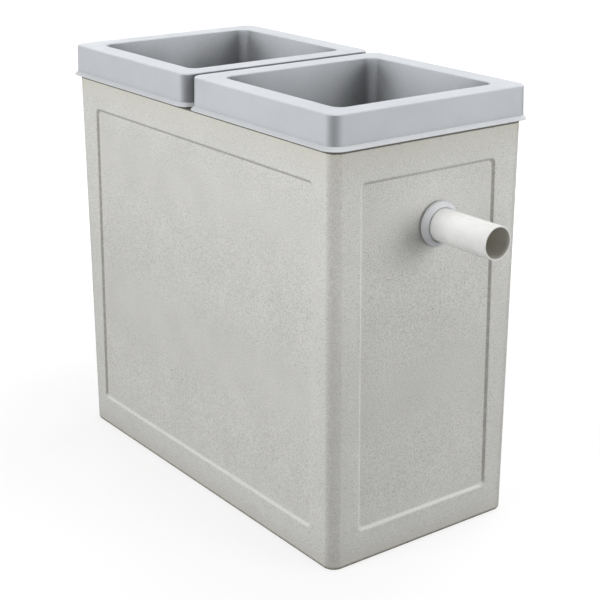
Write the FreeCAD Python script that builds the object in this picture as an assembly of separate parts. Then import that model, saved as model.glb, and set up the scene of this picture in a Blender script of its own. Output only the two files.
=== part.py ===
import FreeCAD, Part
import math
import os

from FreeCAD import Placement, Rotation, Vector

# Grease trap: a cast two-compartment tank with recessed side panels, two moulded risers
# side by side on its rim, and a pipe stub with a dip tee at each end.
# Millimetres. +X points to the outlet end, +Z up, origin at the middle of the base.

# Tank casting
tank_length = 800.0
tank_width = 400.0
tank_height = 710.0
tank_draft = 0.4
tank_corner_radius = 20.0
tank_foot_chamfer = 5.0
rim_wall = 28.0
cavity_draft = 0.3
cavity_corner_radius = 16.0
floor_thickness = 32.0
cove = 22.0

# Recessed panels
panel_side_margin = 57.0
panel_top_margin = 55.0
panel_foot_margin = 60.0
panel_depth = 4.0
panel_bevel = 5.0
panel_corner_radius = 9.0

# Cross wall between the compartments
cross_wall = 24.0
cross_head_width = 84.0
cross_head_depth = 26.0
cross_head_chamfer = 20.0
cross_wall_slip = 0.3
port_width = 190.0
port_height = 130.0
port_sill = 110.0
port_corner_radius = 30.0

# Riser mouldings
riser_height = 60.0
riser_reach = 4.0
riser_draft = 1.2
riser_corner_radius = 22.0
riser_mouth_radius = 18.0
riser_rim_width = 40.0
riser_rim_chamfer = 1.6
riser_skin = 4.0
riser_tongue = 50.0
riser_gap = 0.6
lip_reach = 5.6
lip_edge = 1.4
lip_root = 0.4
web_thickness = 4.0
web_pitch = 95.0

# Bedding seal under each riser
seal_height = 3.0
seal_setback = 4.0
seal_width = 18.0

# Pipes: the inlet lies this far below the rim of the tank, the outlet lower still,
# and both lie off the middle towards +Y
inlet_depth = 108.0
outlet_fall = 40.0
pipe_offset = 20.0
pipe_radius = 28.0
pipe_wall = 2.5
pipe_reach = 132.0
slip = 0.3

# Block-outs in the end walls, packed with mortar round the pipes
blockout_sides = 8
blockout_flats = 66.0
blockout_slip = 0.2

# Collars that close the joint between pipe and wall outside
collar_radius = 38.0
collar_rim = 5.0
collar_length = 11.0
collar_neck_wall = 3.2

# Dip tees
socket_wall = 3.2
socket_depth = 34.0
tee_arm = 68.0
tee_setback = 3.0
outlet_dip_clearance = 170.0
inlet_dip_clearance = 330.0

# Values that follow from the sizes above
tank_lean = math.tan(math.radians(tank_draft))
cavity_lean = math.tan(math.radians(cavity_draft))
riser_lean = math.tan(math.radians(riser_draft))
riser_base = tank_height + seal_height
riser_top = tank_height + riser_height
skirt_spread = riser_lean * (riser_top - riser_base)
riser_half_gap = riser_gap / 2 + lip_reach + skirt_spread
riser_length = tank_length / 2 + riser_reach - riser_half_gap
riser_width = tank_width + 2 * riser_reach
riser_middle = riser_half_gap + riser_length / 2
mouth_length = riser_length - 2 * riser_rim_width
mouth_width = riser_width - 2 * riser_rim_width
inlet_height = tank_height - inlet_depth
outlet_height = inlet_height - outlet_fall
pipe_bore_radius = pipe_radius - pipe_wall
socket_bore_radius = pipe_radius + slip
socket_radius = socket_bore_radius + socket_wall


def tapered_block(length, width, z_low, z_high, spread, corner_radius):
    """Block with rounded upright edges; sizes hold at z_high, less spread a side at z_low."""
    low_x = length / 2 - spread
    low_y = width / 2 - spread
    block = Part.makeWedge(
        -low_x, z_low, -low_y, -width / 2, -length / 2,
        low_x, z_high, low_y, width / 2, length / 2,
    )
    block.rotate(Vector(0, 0, 0), Vector(1, 0, 0), 90)
    half = (z_high - z_low) / 2
    upright = [edge for edge in block.Edges if edge.BoundBox.ZLength > half]
    return block.makeFillet(corner_radius, upright)


def level_edges(shape, height, tolerance=0.01):
    """Edges that lie in the horizontal plane at the given height."""
    return [
        edge for edge in shape.Edges
        if abs(edge.BoundBox.ZMin - height) < tolerance and edge.BoundBox.ZLength < tolerance
    ]


def cylinder_along_x(radius, x_from, x_to, height):
    """Solid cylinder on the pipe line, from one x to another."""
    start = min(x_from, x_to)
    base = Vector(start, pipe_offset, height)
    return Part.makeCylinder(radius, abs(x_to - x_from), base, Vector(1, 0, 0))


def panel_face_x(height):
    """How far the recessed face of an end wall lies from the middle, at a height."""
    return tank_length / 2 - tank_lean * (tank_height - height) - panel_depth


def cavity_face_x(height):
    """How far the inner face of an end wall lies from the middle, at a height."""
    return tank_length / 2 - rim_wall - cavity_lean * (tank_height - height)


def cavity_block(z_low, z_high, inset=0.0):
    """The tank's inner space between two heights, drawn in by an inset."""
    shrink = 2 * (rim_wall + inset + cavity_lean * (tank_height - z_high))
    return tapered_block(
        tank_length - shrink, tank_width - shrink, z_low, z_high,
        cavity_lean * (z_high - z_low), cavity_corner_radius,
    )


def panel_cutter(face_width, half_depth, quarter_turns):
    """Dished cutter for the recessed panel of one side, laid on that side's leaning face."""
    overshoot = panel_depth
    slope = panel_bevel / panel_depth
    width = face_width - 2 * panel_side_margin + 2 * slope * overshoot
    height = tank_height - panel_top_margin - panel_foot_margin + 2 * slope * overshoot
    cutter = tapered_block(
        width, height, -panel_depth, overshoot, slope * (panel_depth + overshoot), panel_corner_radius,
    )
    middle = (tank_height - panel_top_margin + panel_foot_margin) / 2
    cutter.Placement = Placement(
        Vector(0, -half_depth + tank_lean * (tank_height - middle), middle),
        Rotation(Vector(1, 0, 0), 90 + tank_draft),
    )
    cutter.rotate(Vector(0, 0, 0), Vector(0, 0, 1), 90 * quarter_turns)
    return cutter


def make_tank_walls():
    """Four walls in one casting, open above, with a dished panel on each side."""
    outside = tapered_block(
        tank_length, tank_width, 0, tank_height, tank_lean * tank_height, tank_corner_radius,
    )
    outside = outside.makeChamfer(tank_foot_chamfer, level_edges(outside, 0))
    cutters = [cavity_block(0, tank_height)]
    for quarter_turns in range(4):
        along_x = quarter_turns % 2 == 0
        face_width = tank_length if along_x else tank_width
        half_depth = (tank_width if along_x else tank_length) / 2
        cutters.append(panel_cutter(face_width, half_depth, quarter_turns))
    for side, height in ((1, outlet_height), (-1, inlet_height)):
        cutters.append(blockout(side, height, 0))
    return outside.cut(cutters)


def blockout(side, height, slip_all_round):
    """Many-sided prism through an end wall, centred on a pipe, smaller by a slip all round."""
    apothem = blockout_flats / 2 - slip_all_round
    half_turn = math.pi / blockout_sides
    reach = apothem / math.cos(half_turn)
    turns = [half_turn * (2 * index + 1) for index in range(blockout_sides)]
    corners = [Vector(0, reach * math.cos(turn), reach * math.sin(turn)) for turn in turns]
    section = Part.Face(Part.makePolygon(corners + [corners[0]]))
    section.translate(Vector(tank_length / 2 - 2 * rim_wall, 0, 0))
    prism = section.extrude(Vector(2 * rim_wall, 0, 0))
    prism.rotate(Vector(0, 0, 0), Vector(0, 0, 1), 90 - 90 * side)
    prism.translate(Vector(0, pipe_offset, height))
    return prism


def make_mortar_ring(side, height):
    """Mortar packed between a pipe and its block-out, flush with the wall's two faces."""
    ring = blockout(side, height, blockout_slip)
    ring = ring.cut(cylinder_along_x(socket_bore_radius, 0, side * tank_length, height))
    wall = tapered_block(
        tank_length - 2 * panel_depth, tank_width, 0, tank_height,
        tank_lean * tank_height, tank_corner_radius,
    )
    return ring.common(wall).cut(cavity_block(0, tank_height))


def make_tank_floor():
    """Floor slab between the walls, with a sloping cove along its edges."""
    well_top = floor_thickness + cove
    slab = cavity_block(0, well_top)
    shrink = 2 * (rim_wall + cavity_lean * (tank_height - well_top))
    well = tapered_block(
        tank_length - shrink, tank_width - shrink, floor_thickness, well_top,
        cove, cavity_corner_radius,
    )
    return slab.cut(well)


def make_cross_wall():
    """Wall between the compartments with a low transfer port and a head that carries the risers."""
    head_foot = tank_height - cross_head_depth
    profile = [
        Vector(-cross_wall / 2, 0, floor_thickness),
        Vector(cross_wall / 2, 0, floor_thickness),
        Vector(cross_wall / 2, 0, head_foot - cross_head_chamfer),
        Vector(cross_head_width / 2, 0, head_foot),
        Vector(cross_head_width / 2, 0, tank_height),
        Vector(-cross_head_width / 2, 0, tank_height),
        Vector(-cross_head_width / 2, 0, head_foot),
        Vector(-cross_wall / 2, 0, head_foot - cross_head_chamfer),
    ]
    section = Part.Face(Part.makePolygon(profile + [profile[0]]))
    section.translate(Vector(0, -tank_width / 2, 0))
    wall = section.extrude(Vector(0, tank_width, 0))
    wall = wall.common(cavity_block(floor_thickness, tank_height, cross_wall_slip))
    wall = wall.cut(make_tank_floor())
    port_foot = floor_thickness + port_sill
    port = Part.makeBox(
        2 * cross_wall, port_width, port_height, Vector(-cross_wall, -port_width / 2, port_foot),
    )
    along_x = [e for e in port.Edges if e.BoundBox.XLength > cross_wall]
    return wall.cut(port.makeFillet(port_corner_radius, along_x))


def riser_outline():
    """Outside of a riser: a leaning skirt that flares to a thin-edged lip round its foot."""
    skirt = tapered_block(
        riser_length, riser_width, riser_base, riser_top, -skirt_spread, riser_corner_radius,
    )
    foot_length = riser_length + 2 * skirt_spread
    foot_width = riser_width + 2 * skirt_spread
    flare = lip_reach + lip_root
    lip_top = riser_base + lip_edge + flare
    lip = tapered_block(
        foot_length + 2 * lip_reach, foot_width + 2 * lip_reach, riser_base, lip_top,
        0, riser_corner_radius + lip_reach,
    )
    lip = lip.makeChamfer(flare, level_edges(lip, lip_top))
    return skirt.fuse(lip)


def make_riser(side):
    """One riser: a channel turned mouth down round a rectangle, with webs inside and a lip outside."""
    mouth_foot = riser_base - riser_tongue
    tongue = tapered_block(
        mouth_length + 2 * riser_skin, mouth_width + 2 * riser_skin, mouth_foot, riser_top,
        0, riser_mouth_radius + riser_skin,
    )
    mouth = tapered_block(mouth_length, mouth_width, mouth_foot, riser_top, 0, riser_mouth_radius)
    channel_top = riser_top - riser_skin
    channel = tapered_block(
        riser_length - 2 * riser_skin, riser_width - 2 * riser_skin, riser_base, channel_top,
        -riser_lean * (channel_top - riser_base), riser_corner_radius - riser_skin,
    )
    channel = channel.cut([tongue] + web_plates(channel_top))
    riser = riser_outline().fuse(tongue).cut([channel, mouth])
    riser = riser.makeChamfer(riser_rim_chamfer, level_edges(riser, riser_top))
    riser.translate(Vector(side * riser_middle, 0, 0))
    return riser


def web_plates(channel_top):
    """Thin plates across the channel of a riser, at an even pitch along each side."""
    height = channel_top - riser_base
    plates = []
    for run, spread, turn in ((mouth_length, riser_width, 0), (mouth_width, riser_length, 90)):
        spaces = max(2, round(run / web_pitch))
        for index in range(1, spaces):
            offset = index * run / spaces - run / 2 - web_thickness / 2
            plate = Part.makeBox(web_thickness, spread, height, Vector(offset, -spread / 2, riser_base))
            plate.rotate(Vector(0, 0, 0), Vector(0, 0, 1), turn)
            plates.append(plate)
    return plates


def make_riser_seal(side):
    """Flat bedding strip between the rim of the tank and one riser, mitred at its corners."""
    length = riser_length - 2 * (riser_reach + seal_setback)
    width = riser_width - 2 * (riser_reach + seal_setback)
    ring = Part.makeBox(length, width, seal_height, Vector(-length / 2, -width / 2, tank_height))
    hole = Part.makeBox(
        length - 2 * seal_width, width - 2 * seal_width, seal_height,
        Vector(seal_width - length / 2, seal_width - width / 2, tank_height),
    )
    ring = ring.cut(hole)
    ring.translate(Vector(side * riser_middle, 0, 0))
    return ring


def make_collar(side, height):
    """Ring with a cone down to the pipe, its back touching the recessed face at the ring's top."""
    back = panel_face_x(height + collar_radius)
    profile = [
        Vector(back, 0, socket_bore_radius),
        Vector(back, 0, collar_radius),
        Vector(back + collar_rim, 0, collar_radius),
        Vector(back + collar_length, 0, socket_bore_radius + collar_neck_wall),
        Vector(back + collar_length, 0, socket_bore_radius),
    ]
    section = Part.Face(Part.makePolygon(profile + [profile[0]]))
    collar = section.revolve(Vector(0, 0, 0), Vector(1, 0, 0), 360)
    collar.rotate(Vector(0, 0, 0), Vector(0, 0, 1), 90 - 90 * side)
    collar.translate(Vector(0, pipe_offset, height))
    return collar


def tee_centre_x(height):
    """How far the upright line of a dip tee lies from the middle."""
    return cavity_face_x(height - socket_radius) - slip - tee_arm


def make_pipe(side, height):
    """Pipe stub from its tee, through the end wall, to its open end outside."""
    inner_end = side * (tee_centre_x(height) + socket_bore_radius + tee_setback)
    outer_end = side * (tank_length / 2 + pipe_reach)
    pipe = cylinder_along_x(pipe_radius, inner_end, outer_end, height)
    return pipe.cut(cylinder_along_x(pipe_bore_radius, inner_end, outer_end, height))


def make_tee(side, height):
    """Sleeve tee: an upright run open above and below, with an arm that takes the pipe."""
    centre = side * tee_centre_x(height)
    arm_end = centre + side * tee_arm
    base = Vector(centre, pipe_offset, height - tee_arm)
    body = Part.makeCylinder(socket_radius, 2 * tee_arm, base)
    body = body.fuse(cylinder_along_x(socket_radius, centre, arm_end, height))
    return body.cut([
        Part.makeCylinder(socket_bore_radius, 2 * tee_arm, base),
        cylinder_along_x(socket_bore_radius, centre, arm_end, height),
    ])


def make_dip_pipe(side, height, floor_clearance):
    """Pipe that hangs from the lower socket of a tee towards the floor."""
    foot = floor_thickness + floor_clearance
    length = height - tee_arm + socket_depth - foot
    base = Vector(side * tee_centre_x(height), pipe_offset, foot)
    outer = Part.makeCylinder(pipe_radius, length, base)
    return outer.cut(Part.makeCylinder(pipe_bore_radius, length, base))


def make_parts():
    """All pieces of the trap by name."""
    parts = {
        "tank_walls": make_tank_walls(),
        "tank_floor": make_tank_floor(),
        "cross_wall": make_cross_wall(),
    }
    lines = (
        ("outlet", 1, outlet_height, outlet_dip_clearance),
        ("inlet", -1, inlet_height, inlet_dip_clearance),
    )
    for name, side, height, dip_clearance in lines:
        parts[name + "_riser"] = make_riser(side)
        parts[name + "_riser_seal"] = make_riser_seal(side)
        parts[name + "_pipe"] = make_pipe(side, height)
        parts[name + "_mortar_ring"] = make_mortar_ring(side, height)
        parts[name + "_collar"] = make_collar(side, height)
        parts[name + "_tee"] = make_tee(side, height)
        parts[name + "_dip_pipe"] = make_dip_pipe(side, height, dip_clearance)
    return parts


os.makedirs("parts", exist_ok=True)
for node, shape in make_parts().items():
    solids = shape.Solids
    solid = solids[0] if len(solids) == 1 else Part.makeCompound(solids)
    solid.exportStep("parts/" + node + ".step")
    box = solid.BoundBox
    print(
        node, "solids", len(solids), "valid", solid.isValid(), "volume cm3", round(solid.Volume / 1000, 1),
        "x", round(box.XMin, 1), round(box.XMax, 1), "y", round(box.YMin, 1), round(box.YMax, 1),
        "z", round(box.ZMin, 1), round(box.ZMax, 1),
    )
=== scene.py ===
"""Grease trap: looks of the cast tank, its two risers, the pipe stubs and what lies inside.

Every length is in metres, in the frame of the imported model: +X to the outlet end, +Z up.
"""

import logging
import math
from collections.abc import Sequence
from dataclasses import astuple, dataclass, field
from enum import Enum
from typing import Any

import bmesh
import bpy
from mathutils import Matrix, Vector


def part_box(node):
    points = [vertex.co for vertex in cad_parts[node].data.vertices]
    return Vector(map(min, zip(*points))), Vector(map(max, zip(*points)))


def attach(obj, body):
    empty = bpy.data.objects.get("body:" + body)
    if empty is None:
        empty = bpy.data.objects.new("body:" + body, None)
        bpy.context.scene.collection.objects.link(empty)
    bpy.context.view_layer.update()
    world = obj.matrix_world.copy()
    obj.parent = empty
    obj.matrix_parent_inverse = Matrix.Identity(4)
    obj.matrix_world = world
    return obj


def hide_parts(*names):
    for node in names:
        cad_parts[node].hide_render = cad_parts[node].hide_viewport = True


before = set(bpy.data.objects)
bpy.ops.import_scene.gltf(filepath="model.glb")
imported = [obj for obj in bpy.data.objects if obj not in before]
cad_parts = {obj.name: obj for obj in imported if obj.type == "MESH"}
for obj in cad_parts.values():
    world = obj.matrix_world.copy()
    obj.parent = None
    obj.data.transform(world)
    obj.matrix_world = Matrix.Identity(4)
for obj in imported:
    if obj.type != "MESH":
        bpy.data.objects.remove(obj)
log = logging.getLogger("grease_trap")

BODY = "root"

# Layers of a mesh that carry marks for its finish: the bore's, where the pipe is painted with
# shade inside; the walls', with painted shade and highlight in the bevels, painted shade down the
# corners and paler frames; the riser's, with painted shade down its corners and painted highlight
# on its lip
BORE_MARK = "bore"
WALL_SHADING_MARK = "painted_shading"
RISER_SHADING_MARK = "corner"

# Spans in place of a softened corner of a section, and the loops that bound them
SOFT_STEPS = 4
SOFT_LOOPS = SOFT_STEPS + 1

SAME_POINT = 1e-6
AO_SAMPLES = 8
SEED_BASE = 3.0
FLOAT, VECTOR, MATERIAL, GEOMETRY = (
    "NodeSocket" + kind for kind in ("Float", "Vector", "Material", "Geometry")
)

Triple = tuple[float, float, float]
Colour = Triple
Socket = bpy.types.NodeSocket
Ring = Sequence[bmesh.types.BMVert]


class End(Enum):
    """The two ends of the trap, by the sign of their X."""

    OUTLET = 1
    INLET = -1

    @property
    def label(self) -> str:
        """Prefix of the names of this end's pieces."""
        return self.name.lower()


class Slot(Enum):
    """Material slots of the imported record."""

    CAST = "cast_body"
    RISER = "riser_plastic"
    PIPE = "white_pipe"
    COLLAR = "collar_plastic"
    SEAL = "seal_rubber"


# Node trees


class Graph:
    """Short way to add nodes to a tree and join them."""

    def __init__(self, tree: bpy.types.NodeTree) -> None:
        """Wraps an empty tree.

        Args:
            tree: The node tree that gets the nodes.
        """
        self.tree = tree

    def join(self, value: Any, socket: Socket) -> None:
        """Joins another node's socket to an input, or sets the input to a plain value."""
        if isinstance(value, Socket):
            self.tree.links.new(value, socket)
        else:
            socket.default_value = value

    def add(self, kind: str, inputs: dict | None = None, **settings: Any) -> bpy.types.Node:
        """Adds one node.

        Args:
            kind: The node's type name.
            inputs: Sockets by name or index, each with a plain value or a socket to join.
            **settings: Attributes of the node, set before its sockets.

        Returns:
            The new node.
        """
        node = self.tree.nodes.new(kind)
        for name, value in settings.items():
            setattr(node, name, value)
        for key, value in (inputs or {}).items():
            self.join(value, node.inputs[key])
        return node

    def maths(self, operation: str, *values: Any, clamp: bool = False) -> Socket:
        """Adds a Math node and returns its result."""
        wired = dict(enumerate(values))
        return self.add("ShaderNodeMath", wired, operation=operation, use_clamp=clamp).outputs[0]

    def times(self, first: Any, second: Any) -> Socket:
        """The product of two values."""
        return self.maths("MULTIPLY", first, second)

    def noise(self, vector: Any, scale: Any, detail: float, rough: float = 0.6) -> Socket:
        """Adds a Noise Texture and returns its value, about 0.5 on average."""
        wired = {"Vector": vector, "Scale": scale, "Detail": detail, "Roughness": rough}
        return self.add("ShaderNodeTexNoise", wired).outputs["Fac"]

    def span(
        self, value: Any, low: float, high: float, to_low: float = 0.0, to_high: float = 1.0
    ) -> Socket:
        """Adds a smooth Map Range node and returns its result."""
        wired = {0: value, 1: low, 2: high, 3: to_low, 4: to_high}
        return self.add("ShaderNodeMapRange", wired, interpolation_type="SMOOTHSTEP").outputs[0]

    def blend(self, share: Any, first: Any, second: Any, mode: str = "MIX") -> Socket:
        """Adds a colour Mix node and returns its result."""
        node = self.add("ShaderNodeMix", data_type="RGBA", blend_type=mode)
        for index, value in ((0, share), (6, first), (7, second)):
            self.join((*value, 1.0) if isinstance(value, tuple) else value, node.inputs[index])
        return node.outputs[2]

    def mark(self, name: str) -> Socket:
        """The value that MeshMaker.paint left in a named layer of the mesh."""
        return self.add("ShaderNodeAttribute", attribute_name=name).outputs["Fac"]

    def halves(self, value: Any) -> tuple[Socket, Socket]:
        """How far a value lies above 0, and how far below."""
        below = self.times(value, -1.0)
        return self.maths("MAXIMUM", value, 0.0), self.maths("MAXIMUM", below, 0.0)

    def hidden(self, reach: Any, inside: bool = False) -> Socket:
        """Share of the directions closed off within a reach, over the surface or inside it."""
        wired = {"Distance": reach}
        node = self.add("ShaderNodeAmbientOcclusion", wired, samples=AO_SAMPLES, inside=inside)
        return self.maths("SUBTRACT", 1.0, node.outputs["AO"])


def fresh_graph(owner: bpy.types.Material | bpy.types.World) -> Graph:
    """Empties the node tree of a material or a world and wraps it."""
    owner.use_nodes = True
    owner.node_tree.nodes.clear()
    return Graph(owner.node_tree)


def scaled(colour: Colour, factor: float) -> Colour:
    """A colour made lighter or darker."""
    return tuple(min(1.0, part * factor) for part in colour)


class GroupMaker:
    """Makes one shader node group with named inputs and outputs."""

    def __init__(self, name: str, inputs: Sequence[str], outputs: Sequence[str]) -> None:
        """Starts the group, whose first input is the place.

        Args:
            name: The group's name.
            inputs: The names of its other inputs, all of them values.
            outputs: The names of its outputs, all of them values.
        """
        self.tree = bpy.data.node_groups.new(name, "ShaderNodeTree")
        new_socket = self.tree.interface.new_socket
        new_socket("Vector", in_out="INPUT", socket_type=VECTOR)
        for way, labels in (("INPUT", inputs), ("OUTPUT", outputs)):
            for label in labels:
                new_socket(label, in_out=way, socket_type=FLOAT)
        self.graph = Graph(self.tree)
        self.given = self.graph.add("NodeGroupInput").outputs
        self.result = self.graph.add("NodeGroupOutput").inputs

    def put(self, label: str, socket: Socket) -> None:
        """Joins a socket to a named output of the group."""
        self.tree.links.new(socket, self.result[label])


def make_grain_group() -> bpy.types.NodeTree:
    """Fine grain with a slow mottle, for cast and moulded surfaces."""
    scales, values = ("Fine Scale", "Mottle Scale"), ("Fine", "Mottle", "Height")
    group = GroupMaker("surface_grain", scales, values)
    graph, given = group.graph, group.given
    fine = graph.noise(given["Vector"], given["Fine Scale"], 2.0)
    mottle = graph.noise(given["Vector"], given["Mottle Scale"], 4.0)
    group.put("Fine", fine)
    group.put("Mottle", mottle)
    group.put("Height", graph.maths("ADD", fine, graph.times(mottle, 0.5)))
    return group.tree


def make_pit_group() -> bpy.types.NodeTree:
    """Scattered small round pits: a mask that is 1 in a pit and 0 elsewhere."""
    group = GroupMaker("air_pits", ("Scale", "Size", "Share"), ("Mask",))
    graph, given = group.graph, group.given
    wired = {"Vector": given["Vector"], "Scale": given["Scale"]}
    cell = graph.add("ShaderNodeTexVoronoi", wired, feature="F1").outputs
    pick = graph.add("ShaderNodeSeparateColor", {"Color": cell["Color"]}).outputs
    chosen = graph.maths("LESS_THAN", pick["Red"], given["Share"])
    width = graph.times(given["Size"], graph.maths("ADD", pick["Green"], 0.4))
    distance = graph.maths("DIVIDE", cell["Distance"], width)
    inside = graph.maths("SUBTRACT", 1.0, distance, clamp=True)
    group.put("Mask", graph.times(chosen, graph.maths("SQRT", inside)))
    return group.tree


def make_edge_group() -> bpy.types.NodeTree:
    """Masks of the outer edges, broken up as wear is, and of the crevices."""
    group = GroupMaker("edge_mask", ("Radius",), ("Edge", "Crevice"))
    graph, given = group.graph, group.given
    edge = graph.span(graph.hidden(given["Radius"], inside=True), 0.15, 0.75)
    broken = graph.span(graph.noise(given["Vector"], 90.0, 3.0), 0.25, 0.75, 0.45, 1.0)
    group.put("Edge", graph.times(edge, broken))
    group.put("Crevice", graph.span(graph.hidden(graph.times(given["Radius"], 4.0)), 0.45, 1.0))
    return group.tree


@dataclass(frozen=True)
class Finish:
    """What every finish has, and the steps that make its material."""

    name: str
    groups: dict[str, bpy.types.NodeTree]
    base: Colour
    grain_scales: tuple[float, float]
    specular: float = 0.5
    relief: float = 0.0005

    def surface(self, graph: Graph, place: Socket, grain: Any) -> Sequence[Socket]:
        """Makes what differs from one finish to the next.

        Args:
            graph: The material's graph.
            place: The Object coordinates.
            grain: The outputs of the shared grain, at this finish's scales.

        Returns:
            The colour, the roughness and the height.
        """
        raise NotImplementedError

    def make(self) -> bpy.types.Material:
        """Builds the material, with the height scaled by the relief, in metres."""
        material = bpy.data.materials.new(self.name)
        graph = fresh_graph(material)
        place = graph.add("ShaderNodeTexCoord").outputs["Object"]
        grain = self.group(graph, "surface_grain", place, *self.grain_scales)
        tone, rough, height = self.surface(graph, place, grain)
        wired = {"Height": height, "Distance": self.relief, "Strength": 1.0}
        bump = graph.add("ShaderNodeBump", wired)
        wired = {
            "Base Color": tone,
            "Roughness": rough,
            "Specular IOR Level": self.specular,
            "Normal": bump.outputs["Normal"],
        }
        shader = graph.add("ShaderNodeBsdfPrincipled", wired)
        graph.add("ShaderNodeOutputMaterial", {"Surface": shader.outputs["BSDF"]})
        return material

    def group(self, graph: Graph, name: str, place: Socket, *values: float) -> Any:
        """Places one of the shared groups, its values in order, and returns its outputs."""
        wired = dict(enumerate((place, *values)))
        return graph.add("ShaderNodeGroup", wired, node_tree=self.groups[name]).outputs

    def mottled(
        self, graph: Graph, grain: Any, dark: float, light: float, start: float = 0.3
    ) -> Socket:
        """The base colour, wandering between a darker and a lighter shade of itself."""
        share = graph.span(grain["Mottle"], start, 0.7)
        return graph.blend(share, scaled(self.base, dark), scaled(self.base, light))


@dataclass(frozen=True)
class CastFinish(Finish):
    """Fine-grained fibre concrete: air pits with painted shade in them, worn arrises, buff stains,
    painted shade along the foot, and painted light that makes the walls paler towards the rim.

    The walls' marks add painted shade in the bevels and down the upright corners, painted highlight
    in the other bevels, and make the frames a little paler.
    Each of the pits' rows has a scale, a size and the share of cells that hold a pit.
    """

    base: Colour = (0.704, 0.700, 0.676)
    grain_scales: tuple[float, float] = (500.0, 11.0)
    specular: float = 0.35
    stain: Colour = (0.755, 0.733, 0.632)
    pit: Colour = (0.16, 0.15, 0.13)
    # Colour of the painted shade in the walls' bevels and upright corners
    painted_shading: Colour = (0.29, 0.28, 0.245)
    # Colour of the band under the risers: smeared mastic and painted shadow of their lips
    mastic_and_shadow: Colour = (0.085, 0.080, 0.055)
    # Colour of the painted highlight in the walls' other bevels and of their paler frames
    dust_and_highlight: Colour = (0.92, 0.92, 0.89)
    worn_and_highlight: Colour = (0.86, 0.86, 0.84)
    # Colour of the painted shade along the foot
    foot_shade: Colour = (0.16, 0.14, 0.10)
    dark_speck: float = 0.82
    light_speck: float = 1.12
    pits: tuple[Triple, ...] = ((130.0, 0.13, 0.10), (24.0, 0.05, 0.22))
    edge_reach: float = 0.0035
    wear: float = 0.35
    pit_shade: float = 0.7
    pit_depth: float = 2.5
    rim_height: float = 0.71
    stain_reach: float = 0.055
    foot_stain: float = 0.03
    # Band under the risers, smeared mastic and painted shadow of their lips
    smear: float = 0.0025
    smear_edge: float = 0.0012
    smear_share: float = 0.85
    # Levels of the painted shade along the foot: its dark line, and the faint fade above it
    foot_shade_line: tuple[float, float] = (0.0020, 0.0085)
    foot_shade_fade: tuple[float, float] = (0.004, 0.045)

    def surface(self, graph: Graph, place: Socket, grain: Any) -> Sequence[Socket]:
        """Colour, roughness and height of the concrete."""
        edges = self.group(graph, "edge_mask", place, self.edge_reach)
        height = graph.add("ShaderNodeSeparateXYZ", {"Vector": place}).outputs["Z"]
        broken = graph.span(graph.noise(place, 130.0, 4.0), 0.30, 0.62, 0.72, 1.0)
        pitted = self.pitted(graph, place)
        # The walls' layer: painted shade above 0, painted highlight and paler frames below 0
        painted_darker, painted_lighter = graph.halves(graph.mark(WALL_SHADING_MARK))
        tone = self.speckled(graph, grain, height)
        for share, colour in (
            (self.stained(graph, place, height, edges["Crevice"]), self.stain),
            (graph.times(edges["Edge"], self.wear), self.worn_and_highlight),
            # painted shade in the bevels and upright corners
            (graph.times(painted_darker, broken), self.painted_shading),
            # painted highlight in the bevels, and the paler frames
            (painted_lighter, self.dust_and_highlight),
            # painted shade along the foot
            (self.shaded_foot(graph, height, broken), self.foot_shade),
            # smeared mastic and painted shadow under the risers' lips
            (self.smear_and_shadow(graph, height, broken), self.mastic_and_shadow),
            # painted shade in the air pits
            (graph.times(pitted, self.pit_shade), self.pit),
        ):
            tone = graph.blend(share, tone, colour)
        rough = graph.span(grain["Fine"], 0.25, 0.75, 0.78, 0.95)
        sunk = graph.times(pitted, self.pit_depth)
        return tone, rough, graph.maths("SUBTRACT", grain["Height"], sunk)

    def speckled(self, graph: Graph, grain: Any, height: Socket) -> Socket:
        """The bare concrete: fine specks, a slow mottle, and painted light paler towards the rim.
        """
        speck = graph.span(grain["Fine"], 0.33, 0.58)
        dark, light = scaled(self.base, self.dark_speck), scaled(self.base, self.light_speck)
        # Slow mottle, and painted light that makes the walls a little paler towards the rim
        slow = graph.times(
            graph.span(grain["Mottle"], 0.30, 0.70, 0.97, 1.025),
            graph.span(height, 0.28, 0.66, 0.975, 1.065),
        )
        grey = graph.add("ShaderNodeCombineColor", {0: slow, 1: slow, 2: slow}).outputs[0]
        return graph.blend(1.0, graph.blend(speck, dark, light), grey, "MULTIPLY")

    def stained(self, graph: Graph, place: Socket, height: Socket, crevice: Socket) -> Socket:
        """Share of the buff stain: under the rim, at the foot and in the crevices."""
        near_rim = graph.span(height, self.rim_height - self.stain_reach, self.rim_height)
        near_foot = graph.span(height, 0.0, self.foot_stain, 1.0, 0.0)
        patchy = graph.span(graph.noise(place, 22.0, 5.0, 0.62), 0.28, 0.60, 0.35, 1.0)
        level = graph.maths("MAXIMUM", near_rim, graph.times(near_foot, 0.7))
        level = graph.times(graph.times(level, patchy), 0.75)
        return graph.maths("ADD", level, graph.times(crevice, 0.5), clamp=True)

    def shaded_foot(self, graph: Graph, height: Socket, broken: Socket) -> Socket:
        """Share of painted shade at the foot: a dark line on the ground and a faint one that fades
        above it.
        """
        line = graph.times(graph.span(height, *self.foot_shade_line, 0.92, 0.0), broken)
        return graph.maths("ADD", line, graph.span(height, *self.foot_shade_fade, 0.10, 0.0), clamp=True)

    def smear_and_shadow(self, graph: Graph, height: Socket, broken: Socket) -> Socket:
        """Share of the dark band on the last of the wall under the risers: smeared mastic and
        painted shadow of their lips.
        """
        level = graph.maths("ADD", height, graph.times(broken, self.smear_edge))
        start = self.rim_height - self.smear
        smear_and_shadow = graph.span(level, start, start + self.smear_edge)
        return graph.times(smear_and_shadow, self.smear_share)

    def pitted(self, graph: Graph, place: Socket) -> Socket:
        """Mask of the air pits of every size."""
        masks = [self.group(graph, "air_pits", place, *row)["Mask"] for row in self.pits]
        return graph.maths("MAXIMUM", *masks)


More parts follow.
